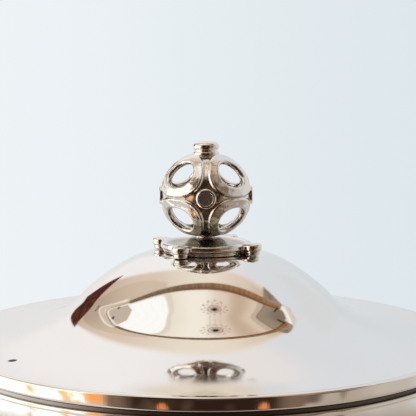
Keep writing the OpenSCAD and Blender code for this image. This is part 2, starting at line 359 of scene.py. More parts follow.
def silver(name, color, dull, roughness, haze=0.02, tarnish=0.0, scratch=0.02, grain=0.0, shade=0.0,
           dish=0.0, stain=None, worn=0.0, gap_shade_height=None):
    """Polished silver: wipe marks in the gloss, hairline scratches, and tarnish where the metal is hollow
    and in one small round stain; painted shade on the faces that look down, and painted shade of the ball
    over the upward faces inside a dish about the axis; worn dulls the brim, and above a given height the
    metal is darkened with painted shade for the gap under the lid's band."""
    made = bpy.data.materials.new(name)
    made.use_nodes = True
    g = Graph(made.node_tree)
    out = g.add("ShaderNodeOutputMaterial")
    shader = g.add("ShaderNodeBsdfPrincipled")
    g.link(shader.outputs["BSDF"], out.inputs["Surface"])
    shader.inputs["Metallic"].default_value = 1.0
    place = g.add("ShaderNodeTexCoord").outputs["Object"]
    smudge = g.noise(place, 60, 4, 0.6)
    wipe = g.noise(g.stretched(place, (90, 90, 500)), 1.0, 3, 0.6)
    gloss = g.math("ADD", g.scaled(smudge, 0.35, 0.7, roughness, roughness + haze),
                   g.scaled(wipe, 0.45, 0.7, 0.0, haze * 0.5))
    patch = g.scaled(g.noise(place, 35, 3, 0.5), 0.4, 0.75, 0.0, 0.12)
    tone = g.blend(patch, color, dull)
    if tarnish:
        hollow = g.step(g.add("ShaderNodeNewGeometry").outputs["Pointiness"], 0.5, 0.44)
        spread = g.scaled(g.noise(place, 420, 4, 0.65), 0.3, 0.7, 0.45, 1.0)
        share = g.math("MULTIPLY", g.both(hollow, spread), tarnish, clamp=True)
        tone = g.blend(share, tone, linear(62, 44, 28))
        gloss = g.math("ADD", gloss, g.math("MULTIPLY", share, 0.25))
    facing = g.add("ShaderNodeSeparateXYZ")
    g.link(g.add("ShaderNodeNewGeometry").outputs["Normal"], facing.inputs[0])
    # painted shade: faces that look down are darkened towards olive, in cloudy patches
    if shade:
        cloudy = g.scaled(g.noise(place, 300, 3, 0.6), 0.3, 0.7, 0.6, 1.0)
        painted_underside_shade = g.both(g.step(facing.outputs[2], 0.1, -0.8), cloudy)
        tone = g.blend(g.math("MULTIPLY", painted_underside_shade, shade), tone, linear(120, 106, 82))
    spot = g.add("ShaderNodeSeparateXYZ")
    g.link(place, spot.inputs[0])
    reach = g.length(spot.outputs[0], spot.outputs[1])
    if worn:
        gloss = g.math("ADD", gloss, g.math("MULTIPLY", g.step(reach, 0.046, 0.051), worn))
    # painted shade in the gap under the lid's band: above the given height the metal turns dark and dull,
    # less so towards the left
    if gap_shade_height:
        share = g.both(g.step(spot.outputs[2], gap_shade_height - 0.00015, gap_shade_height + 0.00015),
                       g.scaled(spot.outputs[0], -0.045, -0.012, 0.4, 0.9))
        tone = g.blend(share, tone, linear(74, 62, 54))
        gloss = g.math("ADD", gloss, g.math("MULTIPLY", share, 0.4))
    # painted shade of the ball above: upward faces inside the dish's radius are darkened in mottled patches
    # and dulled
    if dish:
        inner = g.both(g.step(reach, dish + 0.0005, dish - 0.0005), g.step(facing.outputs[2], 0.4, 0.8))
        mottled = g.scaled(g.noise(place, 500, 4, 0.7), 0.35, 0.65, 0.65, 1.0)
        share = g.math("MULTIPLY", g.both(inner, mottled), 0.6)
        tone = g.blend(share, tone, linear(88, 77, 58))
        gloss = g.math("ADD", gloss, g.math("MULTIPLY", share, 0.3))
    if stain:
        away = g.add("ShaderNodeVectorMath", operation="DISTANCE")
        g.link(place, away.inputs[0])
        away.inputs[1].default_value = stain
        share = g.step(away.outputs["Value"], 0.0013, 0.0009)
        tone = g.blend(share, tone, linear(62, 38, 36))
        gloss = g.math("ADD", gloss, g.math("MULTIPLY", share, 0.35))
    g.link(tone, shader.inputs["Base Color"])
    g.link(gloss, shader.inputs["Roughness"])
    hairlines = g.noise(g.stretched(place, (5200, 5200, 260)), 1.0, 2, 0.5)
    height = hairlines
    if grain:
        height = g.math("ADD", hairlines, g.math("MULTIPLY", g.noise(place, 900, 3, 0.6), grain))
        height = g.math("ADD", height, g.math("MULTIPLY", g.noise(place, 330, 2, 0.5), 4 * grain))
    bump = g.add("ShaderNodeBump")
    bump.inputs["Strength"].default_value = scratch
    bump.inputs["Distance"].default_value = 0.00005
    g.link(height, bump.inputs["Height"])
    g.link(bump.outputs["Normal"], shader.inputs["Normal"])
    return made


def dress(piece, material, body, slot, *nodes):
    """Gives a new piece its material and its body, and hides the CAD nodes that it stands for; the slot is
    not used.
    """
    piece.data.materials.clear()
    piece.data.materials.append(material)
    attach(piece, body)
    if nodes:
        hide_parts(*nodes)
    return piece


def recolor(node, material):
    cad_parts[node].data.materials.clear()
    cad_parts[node].data.materials.append(material)


LID_SILVER = silver("lid_polished", linear(252, 250, 248), linear(242, 236, 229), 0.045, 0.02, scratch=0.02,
                    stain=(-0.0414, -0.0321, EDGE * MM + 0.0013), worn=0.06)
BOWL_SILVER = silver("bowl_polished", linear(249, 246, 242), linear(232, 224, 213), 0.03, 0.03,
                     scratch=0.03)
TRIM_SILVER = silver("trim_polished", linear(248, 243, 236), linear(222, 210, 194), 0.045, 0.04,
                     tarnish=0.5, scratch=0.05)
# the rim ring carries painted shade along its top, for the gap under the lid's band
RIM_SILVER = silver("rim_polished", linear(248, 243, 236), linear(222, 210, 194), 0.045, 0.04,
                    tarnish=0.3, scratch=0.05, gap_shade_height=(ring_high[2] - RIM_GAP - 0.2) * MM)
# the cast finial carries painted shade on the faces that look down
CAST_SILVER = silver("cast_polished", linear(247, 243, 237), linear(208, 203, 194), 0.05, 0.05,
                     tarnish=0.8, scratch=0.45, grain=2.0, shade=0.7)
# the rosette carries painted shade on the faces that look down and, from the ball above, inside its dish
ROSETTE_SILVER = silver("rosette_polished", linear(246, 242, 235), linear(202, 193, 178), 0.05, 0.05,
                        tarnish=0.9, scratch=0.4, grain=2.0, shade=0.5, dish=0.0092)
BUTTON_SILVER = silver("button_polished", linear(247, 243, 236), linear(208, 200, 187), 0.06, 0.05,
                       tarnish=0.4, scratch=0.08, grain=0.6)
DISC_SILVER = silver("disc_satin", linear(176, 165, 158), linear(140, 128, 118), 0.42, 0.12,
                     tarnish=0.1, scratch=0.12, grain=2.0)
FIXING_SILVER = silver("fixing_turned", linear(225, 218, 206), linear(190, 176, 156), 0.16, 0.08,
                       tarnish=0.3, scratch=0.1)


# ---------------------------------------------------------------- bowl and foot

def bowl_outline():
    radius = 59.4
    flat = 16.0
    foot_top = body_low[2]
    top = body_high[2]
    c = [[flat, foot_top], [flat + 29, foot_top], [radius, foot_top + 17], [radius, top]]
    outside = np.vstack([[[0, foot_top]], curve(c, 120)])
    inside = np.vstack([[[0, foot_top + SHEET]], curve(c, 120, -SHEET)])
    return softened(np.vstack([outside, inside[::-1]]), 0.15)


def rim_ring_outline():
    """A ring with a narrow ledge round its top, which leaves a gap under the lid's band."""
    inner, outer = 57.6, ring_high[0]
    low, high = ring_low[2], ring_high[2]
    rounding, ledge, step = 0.45, high - RIM_GAP, outer - 0.55
    return np.vstack([
        [[inner, low]], arc([outer - rounding, low + rounding], rounding, -90, 0, 10),
        arc([outer - rounding, ledge - rounding], rounding, 0, 85, 10),
        [[step, ledge], [step, high], [inner, high]]])


def collar_outline():
    low, high = collar_low[2], collar_high[2]
    half = (high - low) / 2
    reach = collar_high[0]
    inner = reach - 4.6
    return np.vstack([[[inner, low]], arc([reach - half, low + half], half, -90, 90, 40), [[inner, high]]])


def foot_outline():
    top = foot_high[2]
    narrow = collar_high[0] - 1.6
    wide = wire_high[0]
    height = wire_high[2]
    c = [[narrow, top], [narrow + 0.4, top - 5.4], [wide - 14, height + 0.6], [wide - 2, height]]
    return softened(np.vstack([curve(c, 80), curve(c, 80, SHEET)[::-1]]), 0.12)


def foot_wire_outline():
    reach, height = wire_high[0], wire_high[2]
    seat = reach - 2 + PLAY
    loop = np.vstack([
        [[reach - 5, 0]], arc([reach - height / 2, height / 2], height / 2, -90, 60, 30),
        [[seat, height], [seat, height - SHEET - PLAY], [reach - 5, height - SHEET - PLAY]]])
    return softened(loop, 0.12)


dress(turned("bowl_wall", bowl_outline()), BOWL_SILVER, "bowl", "bowl_silver", "bowl_body")
dress(turned("bowl_rim", rim_ring_outline()), RIM_SILVER, "bowl", "trim_silver", "bowl_rim_ring")
dress(turned("collar", collar_outline(), 160), TRIM_SILVER, "bowl", "trim_silver", "foot_collar")
dress(turned("foot", foot_outline()), BOWL_SILVER, "bowl", "bowl_silver", "foot_shell")
dress(turned("foot_rim", foot_wire_outline()), TRIM_SILVER, "bowl", "trim_silver", "foot_wire")


# ---------------------------------------------------------------- lid

def eased(line, reach, step=0.05):
    """The open line in even steps, with its direction averaged over about the given reach to both sides."""
    length = np.concatenate([[0], np.cumsum(np.linalg.norm(np.diff(line, axis=0), axis=1))])
    count = round(length[-1] / step)
    at = np.linspace(0, length[-1], count + 1)
    even = np.stack([np.interp(at, length, line[:, 0]), np.interp(at, length, line[:, 1])], axis=1)
    heading = np.arctan2(np.diff(even[:, 1]), np.diff(even[:, 0]))
    half = int(4 * reach / step)
    weight = np.exp(-0.5 * (np.arange(-half, half + 1) * step / reach) ** 2)
    heading = np.convolve(np.pad(heading, half, mode="edge"), weight / weight.sum(), "valid")
    way = np.stack([np.cos(heading), np.sin(heading)], axis=1) * length[-1] / count
    made = even[0] + np.vstack([[0, 0], np.cumsum(way, axis=0)])
    return made + np.linspace(0, 1, count + 1)[:, None] * (line[-1] - made[-1])


def lid_profile():
    """The lid's upper side from bolt hole to edge: plateau, dome, steep flank, hollow foot, flat brim."""
    plateau_radius = 12.5
    flank = np.array([29.84, EDGE + 9.67])
    flank_slope = math.radians(51.8)
    flank_way = np.array([math.cos(flank_slope), -math.sin(flank_slope)])
    foot = np.array([33.87, EDGE + 5.95])
    foot_slope = math.radians(31.4)
    foot_way = np.array([math.cos(foot_slope), -math.sin(foot_slope)])
    edge = np.array([BRIM_RADIUS, EDGE + BRIM_RISE])
    edge_way = np.array([-1, math.tan(math.radians(1.8))])
    dome = [[plateau_radius, PLATEAU], [plateau_radius + 6.58, PLATEAU], flank - 1.19 * flank_way, flank]
    hollow = [flank, flank + 1.81 * flank_way, foot - 0.6 * foot_way, foot]
    brim = [foot, foot + 10.08 * foot_way, edge + 5.95 * edge_way, edge]
    line = [[[BOLT_RADIUS, PLATEAU]], curve(dome, 200), curve(hollow, 100)[1:], curve(brim, 200)[1:]]
    return eased(np.vstack(line), 0.8)


def lid_outline():
    """The lid's section: every few points of the upper side, and the same line one sheet lower."""
    flat_radius, turn_radius = 9, 55
    upper = lid_profile()
    way = np.gradient(upper, axis=0)
    way /= np.linalg.norm(way, axis=1)[:, None]
    lower = upper + SHEET * np.stack([way[:, 1], -way[:, 0]], axis=1)
    outside = upper[upper[:, 0] > flat_radius][::7]
    inside = lower[(lower[:, 0] > flat_radius) & (lower[:, 0] < turn_radius)][::18]
    loop = np.vstack([
        upper[:1], outside, upper[-2:], [[BRIM_RADIUS, LID_UNDERSIDE], [turn_radius, LID_UNDERSIDE]],
        inside[::-1], lower[:1]])
    return softened(loop, 0.03, least_turn=40)


def band_outline():
    rounding = 0.5
    top = EDGE + BRIM_RISE
    shoulder = top - 0.04
    inner = seat_high[0] + PLAY
    seam = BRIM_RADIUS + 0.01
    loop = np.vstack([
        [[inner, BAND_BOTTOM]],
        arc([BAND_RADIUS - rounding, BAND_BOTTOM + rounding], rounding, -90, 0, 16),
        arc([BAND_RADIUS - rounding, shoulder - rounding], rounding, 0, 87, 16),
        [[seam + 0.06, top - 0.01], [seam, top - 0.005], [seam, LID_UNDERSIDE], [inner, LID_UNDERSIDE]]])
    return softened(loop, 0.03, least_turn=40)


dress(turned("lid_dome", lid_outline(), 384), LID_SILVER, "lid", "lid_silver", "lid_shell")
dress(turned("lid_band", band_outline(), 384), TRIM_SILVER, "lid", "trim_silver", "lid_rim_band")
for fixing in ("finial_stud", "finial_washer", "finial_nut"):
    recolor(fixing, FIXING_SILVER)
recolor("lid_flange", BOWL_SILVER)


# ---------------------------------------------------------------- finial

def hub_outline():
    low, high = hub_low[2], hub_high[2]
    middle = (low + high) / 2
    return softened([[BOLT_RADIUS, low], [3.2, low], [3.0, middle], [3.2, high], [BOLT_RADIUS, high]], 0.08)


def neck_outline():
    low, high, reach = neck_low[2], neck_high[2], neck_high[0]
    third = (high - low) / 3
    return softened([[BOLT_RADIUS, low], [reach, low], [reach - 0.1, low + third],
                     [reach - 0.1, high - third], [reach, high], [BOLT_RADIUS, high]], 0.1)


SEAT_RADIUS = flange_high[0] + PLAY
ROSETTE_RADIUS = 10.9
ROSETTE_THICKNESS = 2.2
KNOB_RADIUS = 2.2
KNOB_DISTANCE = 12.4
KNOB_TURN = 62
ROSETTE_LIP = -0.35


def rosette_field(p):
    """Below zero inside the cast rosette: a grooved round plate with four flared knobs."""
    x, y, z = p[:, 0], p[:, 1], p[:, 2] - FINIAL_FOOT
    radius = np.hypot(x, y)
    outline = radius - ROSETTE_RADIUS
    near_knob = np.zeros_like(x)
    dimple = np.zeros_like(x)
    for k in range(4):
        a = math.radians(KNOB_TURN + 90 * k)
        along = x * math.cos(a) + y * math.sin(a)
        across = np.abs(-x * math.sin(a) + y * math.cos(a))
        from_knob = np.hypot(along - KNOB_DISTANCE, across)
        waist = np.maximum(across - 1.35, np.abs(along - 10.5) - 1.8)
        knob = smooth_min(from_knob - KNOB_RADIUS, waist, 0.9)
        outline = smooth_min(outline, knob, 0.8)
        near_knob = np.maximum(near_knob, 1 - ease(from_knob, 1.6, 2.9))
        dimple = np.maximum(dimple, bell(from_knob, 0.8))
    fillet = 0.22 * (1 - ease(z, 0.6, 0.85)) + 0.3 * bell(z - 0.7, 0.14) + 0.12 * ((z - 1.5) / 0.7) ** 2
    lip = 0.15 * (1 - ease(z, -0.1, 0.1)) + 0.32 * bell(z - 0.1, 0.14)
    outline = outline + np.clip(fillet + lip, 0, 0.7) * (1 - 0.4 * near_knob)
    dish = 0.5 * (1 - ease(radius, 8.7, 10.0))
    rise = 1.5 * (1 - ease(radius, 2.9, 7.6))
    top = ROSETTE_THICKNESS + (rise - dish) * (1 - near_knob) + 0.2 * near_knob - 0.22 * dimple
    bottom = ROSETTE_LIP * ease(radius, 8.1, 8.5)
    slab = np.maximum(z - top, bottom - z)
    solid = smooth_max(outline, slab, 0.55)
    return np.maximum(solid, BOLT_RADIUS - radius)


WINDOW_ANGLE = 20.2
WINDOW_LATITUDE = 33.5
COLLAR_ANGLE = 33.2
BALL_CUT = 9.65
BALL_WALL = 1.6
CAVITY_HALF_HEIGHT = 8.4
FLANGE_SEAT = 9.2
POCKET_RADIUS = 2.33
POCKET_FLOOR = 10.18


def unevenness(x, y, z):
    """Gentle waves of the cast surface, between -1 and 1."""
    return (np.sin(1.5 * x + 0.9 * z + 0.7) * np.sin(1.3 * y - 1.1 * z + 1.9)
            * np.cos(1.2 * z - 0.5 * x + 0.4))


def ball_field(p):
    """Below zero inside the cast ball: a shell with eight windows, a collar round each, and star panels."""
    x, y, z = p[:, 0], p[:, 1], p[:, 2] - BALL_CENTER
    stretched = np.abs(np.stack([x, y, z * BALL_RADIUS / BALL_HALF_HEIGHT]))
    radius = np.maximum(np.sqrt((stretched ** 2).sum(axis=0)), 1e-6)
    way = stretched / radius
    latitude = math.radians(WINDOW_LATITUDE)
    level = math.cos(latitude) / math.sqrt(2)
    cosine = np.clip(level * (way[0] + way[1]) + math.sin(latitude) * way[2], -1, 1)
    angle = np.degrees(np.arccos(cosine))
    mean = way.mean(axis=0)
    sine = np.maximum(np.sqrt(np.maximum(1 - 3 * mean ** 2, 0)), 0.05)
    corners = 4 * (way[0] - mean) * (way[1] - mean) * (way[2] - mean) / (sine * math.sqrt(2 / 3)) ** 3
    edge = COLLAR_ANGLE + 2.4 * corners
    star = ease(angle, edge, edge + 3.2)
    lip = bell(angle - edge, 1.7)
    outer = BALL_RADIUS - 0.36 * star + 0.07 * lip - 0.1 * bell(angle - WINDOW_ANGLE - 5, 5)
    outer = outer - 0.07 + 0.07 * unevenness(x, y, z)
    skin = radius - outer
    cavity = np.minimum(BALL_RADIUS - BALL_WALL - radius, CAVITY_HALF_HEIGHT - np.abs(z))
    shell = np.maximum(skin, cavity)
    window = np.radians(WINDOW_ANGLE + 0.7 * corners - angle) * radius
    solid = smooth_max(shell, window, 0.8)
    rho = np.hypot(x, y)
    solid = smooth_max(solid, -BALL_CUT - z, 0.7)
    solid = np.maximum(solid, np.minimum(SEAT_RADIUS - rho, z - FLANGE_SEAT))
    for along, across in ((x, y), (y, x)):
        pocket = np.minimum(POCKET_RADIUS - np.hypot(across, z), np.abs(along) - POCKET_FLOOR)
        solid = np.maximum(solid, pocket)
    return solid


def cup_outline():
    reach = (cup_high[2] - cup_low[2]) / 2
    lip = cup_high[0] - cup_low[0]
    pocket = disc_low[0] - cup_low[0]
    inner = 1.58
    return softened([[0, 0], [reach, 0], [reach, lip - 0.2], [reach - 0.3, lip], [inner + 0.12, lip],
                     [inner, lip - 0.15], [inner, pocket], [0, pocket]], 0.12)


def disc_outline():
    radius = 1.55
    base = disc_low[0] - cup_low[0]
    top = disc_high[0] - cup_low[0]
    face = [[r, top - 0.06 * (1 - (r / radius) ** 2)] for r in np.linspace(radius, 0, 12)]
    return softened([[0, base], [radius, base]] + face, 0.06)


def button_flange_outline():
    low, high = flange_low[2], flange_high[2]
    reach, hole = flange_high[0], 1.03
    lower, upper = 0.55, 0.5
    return np.vstack([
        [[hole, low]], arc([reach - lower, low + lower], lower, -90, 0, 10),
        arc([reach - upper, high - upper], upper, 0, 90, 10), [[hole, high]]])


def button_cap_outline():
    """A cap with a narrow foot, a rounded shoulder and a slightly domed top."""
    seat, top = flange_high[2], cap_high[2]
    reach, peg, waist = cap_high[0], 1.0, 1.0
    rounding, rise = 0.7, 0.1
    crown_radius = reach - 1.35
    side = arc([reach - rounding, seat + waist], rounding, -70, 0, 10)
    shoulder = curve([[reach, seat + waist], [reach, seat + waist + 0.75], [reach - 0.65, top - 0.2],
                      [crown_radius, top - rise]], 20)[1:]
    crown = [[r, top - rise * (r / crown_radius) ** 2] for r in np.linspace(reach - 1.5, 0, 12)]
    return np.vstack([[[0, cap_low[2]], [peg, cap_low[2]], [peg, seat], [reach - 0.5, seat]],
                      side, shoulder, crown])


def outward(angle):
    """The matrix that stands a turned piece on the ball's equator, facing the given direction."""
    a = math.radians(angle)
    way = np.array([math.cos(a), math.sin(a), 0.0])
    side = np.array([-math.sin(a), math.cos(a), 0.0])
    made = np.eye(4)
    made[:3, 0], made[:3, 1], made[:3, 2] = np.cross(side, way), side, way
    made[:3, 3] = way * cup_low[0] + np.array([0, 0, BALL_CENTER])
    return made


dress(turned("hub", hub_outline(), 96), TRIM_SILVER, "lid", "finial_silver", "finial_hub")
dress(turned("neck", neck_outline(), 96), CAST_SILVER, "lid", "finial_silver", "finial_neck")
dress(cast("rosette", rosette_field, [-15.2, -15.2, rosette_low[2] - 0.4],
           [15.2, 15.2, rosette_high[2] + 0.4], (0.17, 0.17, 0.09)),
      ROSETTE_SILVER, "lid", "finial_silver", "finial_rosette")
dress(cast("ball", ball_field, [-11.6, -11.6, BALL_CENTER - 10.9], [11.6, 11.6, BALL_CENTER + 10.9],
           (0.178, 0.178, 0.178)),
      CAST_SILVER, "lid", "finial_silver", "finial_ball")
for side_name, direction in (("front", -90), ("right", 0), ("back", 90), ("left", 180)):
    cup = placed(turned("bezel_" + side_name, cup_outline(), 72), outward(direction))
    dress(cup, BUTTON_SILVER, "lid", "finial_silver", "boss_cup_" + side_name)
    disc = placed(turned("disc_" + side_name, disc_outline(), 64), outward(direction))
    dress(disc, DISC_SILVER, "lid", "bezel_disc", "boss_disc_" + side_name)
dress(turned("flange", button_flange_outline(), 96), BUTTON_SILVER, "lid", "finial_silver", "button_flange")
dress(turned("cap", button_cap_outline(), 96), BUTTON_SILVER, "lid", "finial_silver", "button_cap")


# ---------------------------------------------------------------- floor, light and camera

def floor_disc():
    """A pale floor that thins out into the backdrop."""
    radius = 300.0
    rings, segments = 24, 96
    vertices = [[0, 0, 0]]
    faces = []
    for i in range(1, rings + 1):
        r = radius * (i / rings) ** 1.5
        for s in range(segments):
            a = 2 * math.pi * s / segments
            vertices.append([r * math.cos(a), r * math.sin(a), 0])
    for s in range(segments):
        faces.append((0, 1 + s, 1 + (s + 1) % segments))
    for i in range(rings - 1):
        for s in range(segments):
            n = (s + 1) % segments
            a, b = 1 + i * segments, 1 + (i + 1) * segments
            faces.append((a + s, b + s, b + n, a + n))
    floor = mesh_object("floor", vertices, faces, 0)
    made = bpy.data.materials.new("pale_floor")
    made.use_nodes = True
    g = Graph(made.node_tree)
    out = g.add("ShaderNodeOutputMaterial")
    matt = g.add("ShaderNodeBsdfDiffuse")
    matt.inputs["Color"].default_value = linear(236, 238, 240)
    clear = g.add("ShaderNodeBsdfTransparent")
    mix = g.add("ShaderNodeMixShader")
    place = g.add("ShaderNodeTexCoord").outputs["Object"]
    length = g.add("ShaderNodeVectorMath", operation="LENGTH")
    g.link(place, length.inputs[0])
    g.link(g.step(length.outputs["Value"], 0.09, 0.26), mix.inputs[0])
    g.link(matt.outputs[0], mix.inputs[1])
    g.link(clear.outputs[0], mix.inputs[2])
    g.link(mix.outputs[0], out.inputs["Surface"])
    floor.data.materials.append(made)
    floor.visible_glossy = False


def room():
    """The surroundings: a plain pale backdrop for the camera, and a warm room for the silver to mirror.

    Overhead, u and v are the place on a level ceiling at unit height: u goes to the right and v goes away
    from the camera.
    """
    world = bpy.data.worlds.new("room")
    bpy.context.scene.world = world
    world.use_nodes = True
    g = Graph(world.node_tree)
    out = g.add("ShaderNodeOutputWorld")
    light = g.add("ShaderNodeBackground")
    g.link(light.outputs[0], out.inputs["Surface"])
    direction = g.add("ShaderNodeTexCoord").outputs["Generated"]
    way = g.add("ShaderNodeSeparateXYZ")
    g.link(direction, way.inputs[0])
    x, y, z = way.outputs[0], way.outputs[1], way.outputs[2]
    high = g.math("MAXIMUM", z, 0.04)
    u = g.math("DIVIDE", x, high)
    v = g.math("DIVIDE", y, high)
    azimuth = g.math("DEGREES", g.math("ARCTAN2", x, g.math("MULTIPLY", y, -1.0)))
    level = g.math("DEGREES", g.math("ARCSINE", z))

    def within(value, start, end, soft):
        return g.both(g.step(value, start - soft, start + soft), g.step(value, end + soft, end - soft))

    def round_spot(center_u, center_v, half_u, half_v):
        """0 at the middle of an oval on the ceiling, 1 at its edge, and more outside."""
        across = g.math("DIVIDE", g.math("SUBTRACT", u, center_u), half_u)
        along = g.math("DIVIDE", g.math("SUBTRACT", v, center_v), half_v)
        return g.math("ADD", g.math("MULTIPLY", across, across), g.math("MULTIPLY", along, along))

    # the pale side, behind the bowl
    pale_low = g.blend(g.step(x, -0.7, 0.5), linear(240, 237, 235), linear(212, 217, 221))
    pale = g.blend(g.step(u, -0.3, 0.18), linear(242, 240, 240), linear(231, 227, 225))
    pale = g.blend(g.step(u, 0.18, 0.36), pale, linear(218, 222, 226))
    pale = g.blend(g.step(level, 10, 20), pale_low, pale)

    # the warm ceiling, up to a slanting edge, with a darker panel in its left part
    left_of = g.math("MAXIMUM", g.math("SUBTRACT", -0.1, u), 0.0)
    ceiling_edge = g.math("MULTIPLY_ADD", g.math("POWER", left_of, 2.0), 1.27, 0.72)
    ceiling_edge = g.math("MULTIPLY_ADD", g.math("MAXIMUM", u, 0.0), -0.44, ceiling_edge)
    ceiling_edge = g.math("MINIMUM", ceiling_edge, 1.9)
    over = g.math("SUBTRACT", ceiling_edge, v)
    warm = g.blend(g.step(u, -1.2, -0.5), linear(202, 180, 162), linear(218, 200, 182))
    warm = g.blend(g.step(u, -0.5, -0.05), warm, linear(233, 222, 206))
    warm = g.blend(g.step(u, 0.02, 0.32), warm, linear(219, 204, 186))
    warm = g.blend(g.step(u, 0.3, 0.5), warm, linear(205, 186, 163))
    panel_side = g.math("MULTIPLY_ADD", u, -1.24, g.math("SUBTRACT", -0.015, v))
    panel = g.both(g.step(u, -0.33, -0.345), g.step(panel_side, -0.01, 0.03))
    panel_tone = g.blend(g.step(u, -1.3, -0.5), linear(180, 160, 142), linear(208, 188, 166))
    warm = g.blend(g.math("MULTIPLY", panel, 0.85), warm, panel_tone)
    warm = g.blend(g.step(over, 0.0, 0.16), g.blend(0.55, linear(236, 217, 200), pale), warm)
    color = g.blend(g.step(over, -0.06, 0.06), pale, warm)
    speck = round_spot(-1.38, 1.17, 0.035, 0.05)
    color = g.blend(g.math("MULTIPLY", g.step(speck, 1.6, 0.5), 0.8), color, linear(92, 78, 72))

    # a beam across the ceiling, and the paler field beyond it
    left_square = g.math("POWER", g.math("MINIMUM", u, 0.0), 2.0)
    right_square = g.math("POWER", g.math("MAXIMUM", u, 0.0), 2.0)
    beam = g.math("MULTIPLY_ADD", left_square, 0.43, g.math("MULTIPLY_ADD", right_square, 0.12, 0.215))
    beam_line = g.math("MULTIPLY_ADD", u, -0.55, 0.048)
    beam = g.math("ADD", g.math("MULTIPLY", beam, g.step(u, -0.76, -0.73)),
                  g.math("MULTIPLY", beam_line, g.step(u, -0.73, -0.76)))
    past = g.math("SUBTRACT", beam, v)
    field = g.blend(g.step(u, -0.35, -0.12), linear(236, 226, 211), linear(244, 237, 223))
    field = g.blend(g.step(u, -0.04, 0.14), field, linear(224, 207, 188))
    field = g.blend(g.step(u, 0.14, 0.28), field, linear(199, 175, 153))
    field = g.blend(g.step(u, 0.31, 0.44), field, linear(218, 198, 177))
    color = g.blend(g.step(past, 0.0, 0.02), color, field)
    mouldings = g.both(g.step(u, -0.72, -0.76), g.step(u, -2.0, -1.5))
    band_line = g.math("SUBTRACT", g.math("MULTIPLY_ADD", u, -0.85, -0.119), v)
    color = g.blend(g.both(mouldings, g.step(past, 0.0, -0.01), g.step(band_line, -0.02, 0.01)), color,
                    linear(206, 189, 168))
    pale_line = g.both(mouldings, within(band_line, -0.022, 0.022, 0.012))
    color = g.blend(pale_line, color, linear(238, 229, 216))
    beam_half = g.blend(g.step(u, -0.745, -0.72), (0.009, 0.009, 0.009, 1),
                        g.blend(g.step(u, -0.6, 0.1), (0.034, 0.034, 0.034, 1), (0.053, 0.053, 0.053, 1)))
    off_beam = g.math("ABSOLUTE", past)
    on_beam = g.math("SUBTRACT", 1.0, g.step(g.math("SUBTRACT", off_beam, beam_half), -0.008, 0.006))
    planks = g.scaled(g.noise(g.stretched(direction, (60, 1, 1)), 1.0, 1), 0.35, 0.65, 0.0, 0.6)
    wood = g.blend(g.step(u, -0.4, 0.5), linear(128, 108, 84), linear(166, 122, 82))
    wood = g.blend(planks, wood, linear(104, 78, 54))
    wood = g.blend(g.step(past, 0.0, 0.035), wood, linear(110, 72, 46))
    color = g.blend(g.both(on_beam, g.step(u, -2.0, -1.6), g.step(u, 0.77, 0.73)), color, wood)

    # a window on the left of the field, and furniture on the right
    window_right = g.math("MULTIPLY_ADD", g.math("POWER", g.math("SUBTRACT", v, 0.05), 2.0), -1.2, -0.345)
    in_window = g.math("SUBTRACT", window_right, u)
    below = g.step(past, 0.045, 0.06)
    frame_line = g.both(below, g.step(in_window, -0.07, -0.05), g.step(in_window, 0.0, -0.02))
    color = g.blend(g.math("MULTIPLY", frame_line, 0.45), color, linear(206, 196, 184))
    window_mask = g.both(below, g.step(in_window, -0.008, 0.008))
    color = g.blend(window_mask, color, linear(255, 255, 252))
    bars = within(g.math("FRACT", g.math("MULTIPLY", u, 9.0)), 0.42, 0.58, 0.04)
    color = g.blend(g.math("MULTIPLY", g.both(window_mask, bars), 0.1), color, linear(206, 208, 208))
    bent_u = g.math("ADD", u, g.math("MULTIPLY", g.step(v, 0.25, 0.15), 0.07))
    beside = g.both(below, g.step(bent_u, -0.75, -0.77))
    color = g.blend(beside, color, linear(196, 180, 164))
    spot = round_spot(-0.94, 0.48, 0.035, 0.03)
    color = g.blend(g.step(spot, 1.6, 0.6), color, linear(72, 62, 60))
    near_right = g.both(below, g.step(u, 0.45, 0.47))
    color = g.blend(near_right, color, linear(194, 176, 156))
    color = g.blend(g.both(below, within(u, 0.522, 0.542, 0.008)), color, linear(138, 112, 96))
    dark_right = g.both(below, g.step(u, 0.535, 0.545))
    brown = g.blend(g.step(u, 0.55, 0.75), linear(158, 138, 120), linear(130, 116, 100))
    color = g.blend(dark_right, color, brown)
    behind = g.both(g.step(past, -0.04, -0.06), g.step(u, 0.5, 0.53), g.step(over, -0.01, 0.02),
                    g.step(u, 0.78, 0.74))
    mottle = g.noise(g.stretched(direction, (30, 30, 30)), 1.0, 2)
    mottled = g.blend(g.step(mottle, 0.4, 0.6), linear(128, 112, 96), linear(158, 142, 126))
    color = g.blend(behind, color, mottled)
    black_spot = g.both(within(u, 0.69, 0.72, 0.008), within(v, 0.12, 0.26, 0.02))
    color = g.blend(black_spot, color, linear(34, 26, 22))
    slant = g.math("MULTIPLY_ADD", u, 0.75, v)
    strip_end = g.both(within(u, 0.745, 0.955, 0.01), within(v, 0.15, 0.42, 0.02))
    color = g.blend(g.both(strip_end, within(slant, 0.84, 1.03, 0.01)), color, linear(216, 205, 192))
    color = g.blend(g.both(strip_end, within(slant, 1.035, 1.075, 0.01)), color, linear(208, 188, 166))
    color = g.blend(g.both(strip_end, within(slant, 0.865, 0.945, 0.01)), color, linear(243, 240, 237))

